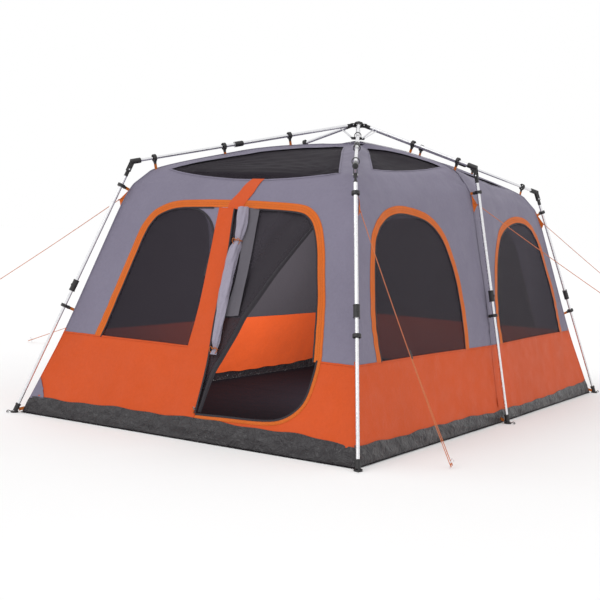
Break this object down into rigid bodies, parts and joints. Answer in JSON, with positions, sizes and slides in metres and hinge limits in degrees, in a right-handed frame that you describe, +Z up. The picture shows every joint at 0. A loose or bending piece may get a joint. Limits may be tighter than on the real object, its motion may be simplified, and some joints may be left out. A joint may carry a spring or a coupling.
{
  "type": "pop up tent",
  "caption": "Six-leg quick-pitch cabin tent: central hub, folding arms and telescoping legs over a fabric cabin with an arched door, windows, groundsheet and guy ropes.",
  "frame": {"origin": "on the ground at the middle of the tent's footprint", "axes": "+Z up, +X to the right of the door wall, +Y from the door wall to the back"},
  "size_m": [7.6068, 4.6573, 2.1893],
  "materials": {
    "groundsheet_fabric": "coated, semi-gloss",
    "orange_fabric": "matt woven polyester",
    "grey_fabric": "matt woven polyester",
    "rope_cord": "braided",
    "peg_steel": "zinc plated",
    "black_nylon": "moulded",
    "zip_metal": "painted",
    "steel_tube": "bright plated"
  },
  "bodies": {
    "shelter": {"groundsheet": "groundsheet_fabric", "wall_front": "orange_fabric", "wall_back": "orange_fabric", "wall_left": "orange_fabric", "wall_right": "orange_fabric", "roof": "grey_fabric", "rope_front_left": "rope_cord", "peg_front_left": "peg_steel", "rope_rear_left": "rope_cord", "peg_rear_left": "peg_steel", "rope_side_right": "rope_cord", "peg_side_right": "peg_steel", "rope_rear_right": "rope_cord", "peg_rear_right": "peg_steel", "rope_front_right": "rope_cord", "peg_front_right": "peg_steel"},
    "hub": {"hub_crown": "black_nylon", "hub_cap": "black_nylon"},
    "runner": {"hub_runner": "black_nylon"},
    "door_zip": {"door_zip_slider": "zip_metal"},
    "arm_front_left": {"arm_inner_front_left": "steel_tube"},
    "arm_end_front_left": {"arm_outer_front_left": "steel_tube", "elbow_front_left": "black_nylon"},
    "leg_front_left": {"leg_upper_front_left": "steel_tube"},
    "foot_front_left": {"leg_lower_front_left": "steel_tube"},
    "button_front_left": {"leg_button_front_left": "black_nylon"},
    "strut_front_left": {"strut_front_left": "steel_tube"},
    "arm_front_right": {"arm_inner_front_right": "steel_tube"},
    "arm_end_front_right": {"arm_outer_front_right": "steel_tube", "elbow_front_right": "black_nylon"},
    "leg_front_right": {"leg_upper_front_right": "steel_tube"},
    "foot_front_right": {"leg_lower_front_right": "steel_tube"},
    "button_front_right": {"leg_button_front_right": "black_nylon"},
    "strut_front_right": {"strut_front_right": "steel_tube"},
    "arm_rear_left": {"arm_inner_rear_left": "steel_tube"},
    "arm_end_rear_left": {"arm_outer_rear_left": "steel_tube", "elbow_rear_left": "black_nylon"},
    "leg_rear_left": {"leg_upper_rear_left": "steel_tube"},
    "foot_rear_left": {"leg_lower_rear_left": "steel_tube"},
    "button_rear_left": {"leg_button_rear_left": "black_nylon"},
    "strut_rear_left": {"strut_rear_left": "steel_tube"},
    "arm_rear_right": {"arm_inner_rear_right": "steel_tube"},
    "arm_end_rear_right": {"arm_outer_rear_right": "steel_tube", "elbow_rear_right": "black_nylon"},
    "leg_rear_right": {"leg_upper_rear_right": "steel_tube"},
    "foot_rear_right": {"leg_lower_rear_right": "steel_tube"},
    "button_rear_right": {"leg_button_rear_right": "black_nylon"},
    "strut_rear_right": {"strut_rear_right": "steel_tube"},
    "arm_mid_left": {"arm_mid_left": "steel_tube", "elbow_mid_left": "black_nylon"},
    "leg_mid_left": {"leg_upper_mid_left": "steel_tube"},
    "foot_mid_left": {"leg_lower_mid_left": "steel_tube"},
    "button_mid_left": {"leg_button_mid_left": "black_nylon"},
    "strut_mid_left": {"strut_mid_left": "steel_tube"},
    "arm_mid_right": {"arm_mid_right": "steel_tube", "elbow_mid_right": "black_nylon"},
    "leg_mid_right": {"leg_upper_mid_right": "steel_tube"},
    "foot_mid_right": {"leg_lower_mid_right": "steel_tube"},
    "button_mid_right": {"leg_button_mid_right": "black_nylon"},
    "strut_mid_right": {"strut_mid_right": "steel_tube"}
  },
  "joints": [
    {"name": "hub_drop", "type": "slide", "parent": "shelter", "child": "hub", "axis": [0, 0, -1], "range_m": [0, 2.027], "deforming": ["wall_front", "wall_back", "wall_left", "wall_right", "roof", "rope_front_left", "rope_rear_left", "rope_side_right", "rope_rear_right", "rope_front_right"]},
    {"name": "runner_slide", "type": "slide", "parent": "hub", "child": "runner", "axis": [0, 0, 1], "range_m": [0, 0.0731]},
    {"name": "arm_fold_front_left", "type": "hinge", "parent": "hub", "child": "arm_front_left", "pos_m": [-0.02597, -0.04848, 2.157], "axis": [-0.8815, 0.4721, 0], "range_deg": [0, 99.79]},
    {"name": "arm_slide_front_left", "type": "slide", "parent": "arm_front_left", "child": "arm_end_front_left", "axis": [0.4605, 0.8597, 0.2211], "range_m": [0, 0.7405]},
    {"name": "leg_fold_front_left", "type": "hinge", "parent": "arm_end_front_left", "child": "leg_front_left", "pos_m": [-0.89405, -1.66195, 1.69183], "axis": [0.8849, -0.4609, -0.0671], "range_deg": [0, 122.66]},
    {"name": "leg_slide_front_left", "type": "slide", "parent": "leg_front_left", "child": "foot_front_left", "axis": [0.2342, 0.3158, 0.9195], "range_m": [0, 0.581]},
    {"name": "leg_button_front_left", "type": "slide", "parent": "leg_front_left", "child": "button_front_left", "axis": [0.4025, 0.8294, -0.3874], "range_m": [0, 0.0025], "stiffness_N_per_m": 400, "springref_m": -0.0015},
    {"name": "strut_fold_front_left", "type": "hinge", "parent": "runner", "child": "strut_front_left", "pos_m": [-0.03535, -0.03211, 2.057], "axis": [-0.8815, 0.4721, 0], "range_deg": [0, 52.19]},
    {"name": "arm_fold_front_right", "type": "hinge", "parent": "hub", "child": "arm_front_right", "pos_m": [0.02597, -0.04848, 2.157], "axis": [-0.8815, -0.4721, 0], "range_deg": [0, 99.79]},
    {"name": "arm_slide_front_right", "type": "slide", "parent": "arm_front_right", "child": "arm_end_front_right", "axis": [-0.4605, 0.8597, 0.2211], "range_m": [0, 0.7405]},
    {"name": "leg_fold_front_right", "type": "hinge", "parent": "arm_end_front_right", "child": "leg_front_right", "pos_m": [0.89405, -1.66195, 1.69183], "axis": [0.8849, 0.4609, 0.0671], "range_deg": [0, 122.66]},
    {"name": "leg_slide_front_right", "type": "slide", "parent": "leg_front_right", "child": "foot_front_right", "axis": [-0.2342, 0.3158, 0.9195], "range_m": [0, 0.581]},
    {"name": "leg_button_front_right", "type": "slide", "parent": "leg_front_right", "child": "button_front_right", "axis": [-0.4025, 0.8294, -0.3874], "range_m": [0, 0.0025], "stiffness_N_per_m": 400, "springref_m": -0.0015},
    {"name": "strut_fold_front_right", "type": "hinge", "parent": "runner", "child": "strut_front_right", "pos_m": [0.00714, -0.04722, 2.057], "axis": [-0.8815, -0.4721, 0], "range_deg": [0, 52.19]},
    {"name": "arm_fold_rear_left", "type": "hinge", "parent": "hub", "child": "arm_rear_left", "pos_m": [-0.02597, 0.04848, 2.157], "axis": [0.8815, 0.4721, 0], "range_deg": [0, 99.79]},
    {"name": "arm_slide_rear_left", "type": "slide", "parent": "arm_rear_left", "child": "arm_end_rear_left", "axis": [0.4605, -0.8597, 0.2211], "range_m": [0, 0.7405]},
    {"name": "leg_fold_rear_left", "type": "hinge", "parent": "arm_end_rear_left", "child": "leg_rear_left", "pos_m": [-0.89405, 1.66195, 1.69183], "axis": [-0.8849, -0.4609, 0.0671], "range_deg": [0, 122.66]},
    {"name": "leg_slide_rear_left", "type": "slide", "parent": "leg_rear_left", "child": "foot_rear_left", "axis": [0.2342, -0.3158, 0.9195], "range_m": [0, 0.581]},
    {"name": "leg_button_rear_left", "type": "slide", "parent": "leg_rear_left", "child": "button_rear_left", "axis": [0.4025, -0.8294, -0.3874], "range_m": [0, 0.0025], "stiffness_N_per_m": 400, "springref_m": -0.0015},
    {"name": "strut_fold_rear_left", "type": "hinge", "parent": "runner", "child": "strut_rear_left", "pos_m": [-0.00714, 0.04722, 2.057], "axis": [0.8815, 0.4721, 0], "range_deg": [0, 52.19]},
    {"name": "arm_fold_rear_right", "type": "hinge", "parent": "hub", "child": "arm_rear_right", "pos_m": [0.02597, 0.04848, 2.157], "axis": [0.8815, -0.4721, 0], "range_deg": [0, 99.79]},
    {"name": "arm_slide_rear_right", "type": "slide", "parent": "arm_rear_right", "child": "arm_end_rear_right", "axis": [-0.4605, -0.8597, 0.2211], "range_m": [0, 0.7405]},
    {"name": "leg_fold_rear_right", "type": "hinge", "parent": "arm_end_rear_right", "child": "leg_rear_right", "pos_m": [0.89405, 1.66195, 1.69183], "axis": [-0.8849, 0.4609, -0.0671], "range_deg": [0, 122.66]},
    {"name": "leg_slide_rear_right", "type": "slide", "parent": "leg_rear_right", "child": "foot_rear_right", "axis": [-0.2342, -0.3158, 0.9195], "range_m": [0, 0.581]},
    {"name": "leg_button_rear_right", "type": "slide", "parent": "leg_rear_right", "child": "button_rear_right", "axis": [-0.4025, -0.8294, -0.3874], "range_m": [0, 0.0025], "stiffness_N_per_m": 400, "springref_m": -0.0015},
    {"name": "strut_fold_rear_right", "type": "hinge", "parent": "runner", "child": "strut_rear_right", "pos_m": [0.03535, 0.03211, 2.057], "axis": [0.8815, -0.4721, 0], "range_deg": [0, 52.19]},
    {"name": "arm_fold_mid_left", "type": "hinge", "parent": "hub", "child": "arm_mid_left", "pos_m": [-0.055, 0, 2.157], "axis": [0, 1, 0], "range_deg": [0, 105.27]},
    {"name": "leg_fold_mid_left", "type": "hinge", "parent": "arm_mid_left", "child": "leg_mid_left", "pos_m": [-1.00086, 0, 1.79018], "axis": [0, -1, 0], "range_deg": [0, 116.68]},
    {"name": "leg_slide_mid_left", "type": "slide", "parent": "leg_mid_left", "child": "foot_mid_left", "axis": [0.1977, 0, 0.9803], "range_m": [0, 0.7037]},
    {"name": "leg_button_mid_left", "type": "slide", "parent": "leg_mid_left", "child": "button_mid_left", "axis": [0.9803, 0, -0.1977], "range_m": [0, 0.0025], "stiffness_N_per_m": 400, "springref_m": -0.0015},
    {"name": "strut_fold_mid_left", "type": "hinge", "parent": "runner", "child": "strut_mid_left", "pos_m": [-0.045, 0.016, 2.057], "axis": [0, 1, 0], "range_deg": [0, 47.6]},
    {"name": "arm_fold_mid_right", "type": "hinge", "parent": "hub", "child": "arm_mid_right", "pos_m": [0.055, 0, 2.157], "axis": [0, -1, 0], "range_deg": [0, 105.27]},
    {"name": "leg_fold_mid_right", "type": "hinge", "parent": "arm_mid_right", "child": "leg_mid_right", "pos_m": [1.00086, 0, 1.79018], "axis": [0, 1, 0], "range_deg": [0, 116.68]},
    {"name": "leg_slide_mid_right", "type": "slide", "parent": "leg_mid_right", "child": "foot_mid_right", "axis": [-0.1977, 0, 0.9803], "range_m": [0, 0.7037]},
    {"name": "leg_button_mid_right", "type": "slide", "parent": "leg_mid_right", "child": "button_mid_right", "axis": [-0.9803, 0, -0.1977], "range_m": [0, 0.0025], "stiffness_N_per_m": 400, "springref_m": -0.0015},
    {"name": "strut_fold_mid_right", "type": "hinge", "parent": "runner", "child": "strut_mid_right", "pos_m": [0.045, -0.016, 2.057], "axis": [0, -1, 0], "range_deg": [0, 47.6]},
    {"name": "door_zip_slide", "type": "slide", "parent": "shelter", "child": "door_zip", "axis": [-0.0858, 0.3683, 0.9258], "range_m": [0, 0.34]}
  ],
  "couplings": [
    {"joint": "runner_slide", "follows": "hub_drop", "ratio": 0.035826},
    {"joint": "arm_fold_front_left", "follows": "hub_drop", "rad_per_m": 0.85907},
    {"joint": "arm_slide_front_left", "follows": "hub_drop", "ratio": 0.36507},
    {"joint": "leg_fold_front_left", "follows": "hub_drop", "rad_per_m": 1.056},
    {"joint": "leg_slide_front_left", "follows": "hub_drop", "ratio": 0.28637},
    {"joint": "strut_fold_front_left", "follows": "hub_drop", "rad_per_m": 0.44919},
    {"joint": "arm_fold_front_right", "follows": "hub_drop", "rad_per_m": 0.85907},
    {"joint": "arm_slide_front_right", "follows": "hub_drop", "ratio": 0.36507},
    {"joint": "leg_fold_front_right", "follows": "hub_drop", "rad_per_m": 1.056},
    {"joint": "leg_slide_front_right", "follows": "hub_drop", "ratio": 0.28637},
    {"joint": "strut_fold_front_right", "follows": "hub_drop", "rad_per_m": 0.44919},
    {"joint": "arm_fold_rear_left", "follows": "hub_drop", "rad_per_m": 0.85907},
    {"joint": "arm_slide_rear_left", "follows": "hub_drop", "ratio": 0.36507},
    {"joint": "leg_fold_rear_left", "follows": "hub_drop", "rad_per_m": 1.056},
    {"joint": "leg_slide_rear_left", "follows": "hub_drop", "ratio": 0.28637},
    {"joint": "strut_fold_rear_left", "follows": "hub_drop", "rad_per_m": 0.44919},
    {"joint": "arm_fold_rear_right", "follows": "hub_drop", "rad_per_m": 0.85907},
    {"joint": "arm_slide_rear_right", "follows": "hub_drop", "ratio": 0.36507},
    {"joint": "leg_fold_rear_right", "follows": "hub_drop", "rad_per_m": 1.056},
    {"joint": "leg_slide_rear_right", "follows": "hub_drop", "ratio": 0.28637},
    {"joint": "strut_fold_rear_right", "follows": "hub_drop", "rad_per_m": 0.44919},
    {"joint": "arm_fold_mid_left", "follows": "hub_drop", "rad_per_m": 0.90625},
    {"joint": "leg_fold_mid_left", "follows": "hub_drop", "rad_per_m": 1.0045},
    {"joint": "leg_slide_mid_left", "follows": "hub_drop", "ratio": 0.34692},
    {"joint": "strut_fold_mid_left", "follows": "hub_drop", "rad_per_m": 0.40968},
    {"joint": "arm_fold_mid_right", "follows": "hub_drop", "rad_per_m": 0.90625},
    {"joint": "leg_fold_mid_right", "follows": "hub_drop", "rad_per_m": 1.0045},
    {"joint": "leg_slide_mid_right", "follows": "hub_drop", "ratio": 0.34692},
    {"joint": "strut_fold_mid_right", "follows": "hub_drop", "rad_per_m": 0.40968}
  ]
}
